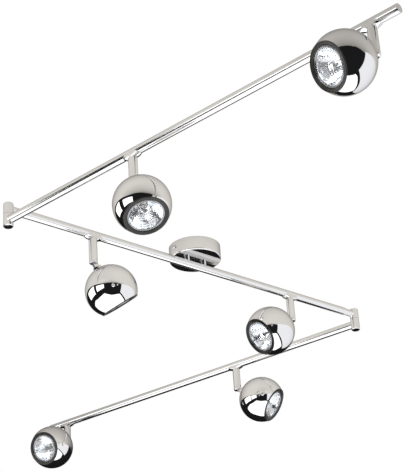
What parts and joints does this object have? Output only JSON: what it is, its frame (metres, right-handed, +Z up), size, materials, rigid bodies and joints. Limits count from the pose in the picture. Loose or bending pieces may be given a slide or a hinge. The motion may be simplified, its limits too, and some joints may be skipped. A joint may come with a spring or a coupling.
{
  "type": "folding ceiling spotlight bar",
  "caption": "Folding chrome ceiling spotlight: hinged tubular bars in a Z under a round canopy, carrying ball-shaped reflector lamp heads that swivel and tilt on short stems.",
  "frame": {"origin": "centre of the canopy's ceiling face, midway between the bracket's two screw holes", "axes": "+Z up into the ceiling, +X along the middle bar from the left elbow to the right elbow, +Y towards the far arm"},
  "size_m": [0.715, 1.3676, 0.1815],
  "materials": {
    "chrome": "polished chrome plate on steel",
    "zinc_steel": "zinc-plated steel",
    "dark_ring": "gloss black, finely turned",
    "lamp_glass": "clear cover glass over a faceted aluminised reflector",
    "ceramic": "white glazed ceramic",
    "terminal_plastic": "moulded white nylon",
    "wire_insulation": "silicone-coated wire"
  },
  "bodies": {
    "canopy_and_middle_bar": {"ceiling_bracket": "zinc_steel", "terminal_block": "terminal_plastic", "canopy_cup": "chrome", "canopy_side_screws": "chrome", "canopy_posts": "chrome", "post_nuts": "zinc_steel", "middle_bar_tube": "chrome", "middle_bar_wires": "wire_insulation", "middle_bar_saddles": "chrome", "left_upper_socket": "chrome", "right_upper_socket": "chrome", "elbow_bolts": "zinc_steel"},
    "near_arm": {"near_arm_tube": "chrome", "near_arm_socket": "chrome", "near_arm_bottom_cap": "chrome", "near_arm_end_plug": "chrome", "near_arm_wires": "wire_insulation", "near_arm_saddles": "chrome"},
    "far_arm": {"far_arm_tube": "chrome", "far_arm_socket": "chrome", "far_arm_bottom_cap": "chrome", "far_arm_end_plug": "chrome", "far_arm_wires": "wire_insulation", "far_arm_saddles": "chrome"},
    "spot_1_stem_body": {"spot_1_stem": "chrome", "spot_1_pivot_screw": "chrome"},
    "spot_1_head": {"spot_1_shade": "chrome", "spot_1_front_ring": "dark_ring", "spot_1_lamp": "lamp_glass", "spot_1_lamp_holder": "ceramic"},
    "spot_2_stem_body": {"spot_2_stem": "chrome", "spot_2_pivot_screw": "chrome"},
    "spot_2_head": {"spot_2_shade": "chrome", "spot_2_front_ring": "dark_ring", "spot_2_lamp": "lamp_glass", "spot_2_lamp_holder": "ceramic"},
    "spot_3_stem_body": {"spot_3_stem": "chrome", "spot_3_pivot_screw": "chrome"},
    "spot_3_head": {"spot_3_shade": "chrome", "spot_3_front_ring": "dark_ring", "spot_3_lamp": "lamp_glass", "spot_3_lamp_holder": "ceramic"},
    "spot_4_stem_body": {"spot_4_stem": "chrome", "spot_4_pivot_screw": "chrome"},
    "spot_4_head": {"spot_4_shade": "chrome", "spot_4_front_ring": "dark_ring", "spot_4_lamp": "lamp_glass", "spot_4_lamp_holder": "ceramic"},
    "spot_5_stem_body": {"spot_5_stem": "chrome", "spot_5_pivot_screw": "chrome"},
    "spot_5_head": {"spot_5_shade": "chrome", "spot_5_front_ring": "dark_ring", "spot_5_lamp": "lamp_glass", "spot_5_lamp_holder": "ceramic"},
    "spot_6_stem_body": {"spot_6_stem": "chrome", "spot_6_pivot_screw": "chrome"},
    "spot_6_head": {"spot_6_shade": "chrome", "spot_6_front_ring": "dark_ring", "spot_6_lamp": "lamp_glass", "spot_6_lamp_holder": "ceramic"}
  },
  "joints": [
    {"name": "near_elbow", "type": "hinge", "parent": "canopy_and_middle_bar", "child": "near_arm", "pos_m": [-0.35, 0, -0.0515], "axis": [0, 0, 1], "range_deg": [-99.7, 30.3]},
    {"name": "far_elbow", "type": "hinge", "parent": "canopy_and_middle_bar", "child": "far_arm", "pos_m": [0.35, 0, -0.0515], "axis": [0, 0, 1], "range_deg": [-105.3, 24.7]},
    {"name": "spot_1_swivel", "type": "hinge", "parent": "near_arm", "child": "spot_1_stem_body", "pos_m": [-0.23913, -0.64859, -0.0515], "axis": [0, 0, 1], "range_deg": [-175, 175]},
    {"name": "spot_1_tilt", "type": "hinge", "parent": "spot_1_stem_body", "child": "spot_1_head", "pos_m": [-0.23913, -0.64859, -0.097], "axis": [-0.2181, -0.9759, 0], "range_deg": [-17, 63]},
    {"name": "spot_2_swivel", "type": "hinge", "parent": "near_arm", "child": "spot_2_stem_body", "pos_m": [-0.3072, -0.25037, -0.0515], "axis": [0, 0, 1], "range_deg": [-175, 175]},
    {"name": "spot_2_tilt", "type": "hinge", "parent": "spot_2_stem_body", "child": "spot_2_head", "pos_m": [-0.3072, -0.25037, -0.097], "axis": [0.981, -0.1942, 0], "range_deg": [-55, 25]},
    {"name": "spot_3_swivel", "type": "hinge", "parent": "canopy_and_middle_bar", "child": "spot_3_stem_body", "pos_m": [-0.2, 0, -0.033], "axis": [0, 0, 1], "range_deg": [-175, 175]},
    {"name": "spot_3_tilt", "type": "hinge", "parent": "spot_3_stem_body", "child": "spot_3_head", "pos_m": [-0.2, 0, -0.0785], "axis": [0.0436, 0.999, 0], "range_deg": [-44.2, 35.8]},
    {"name": "spot_4_swivel", "type": "hinge", "parent": "canopy_and_middle_bar", "child": "spot_4_stem_body", "pos_m": [0.2, 0, -0.033], "axis": [0, 0, 1], "range_deg": [-175, 175]},
    {"name": "spot_4_tilt", "type": "hinge", "parent": "spot_4_stem_body", "child": "spot_4_head", "pos_m": [0.2, 0, -0.0785], "axis": [-0.1685, -0.9857, 0], "range_deg": [-23, 57]},
    {"name": "spot_5_swivel", "type": "hinge", "parent": "far_arm", "child": "spot_5_stem_body", "pos_m": [0.28298, 0.245, -0.0515], "axis": [0, 0, 1], "range_deg": [-175, 175]},
    {"name": "spot_5_tilt", "type": "hinge", "parent": "spot_5_stem_body", "child": "spot_5_head", "pos_m": [0.28298, 0.245, -0.097], "axis": [0.8329, 0.5534, 0], "range_deg": [-24, 56]},
    {"name": "spot_6_swivel", "type": "hinge", "parent": "far_arm", "child": "spot_6_stem_body", "pos_m": [0.17637, 0.63468, -0.0515], "axis": [0, 0, 1], "range_deg": [-175, 175]},
    {"name": "spot_6_tilt", "type": "hinge", "parent": "spot_6_stem_body", "child": "spot_6_head", "pos_m": [0.17637, 0.63468, -0.097], "axis": [0.3123, -0.95, 0], "range_deg": [-10, 70]}
  ]
}
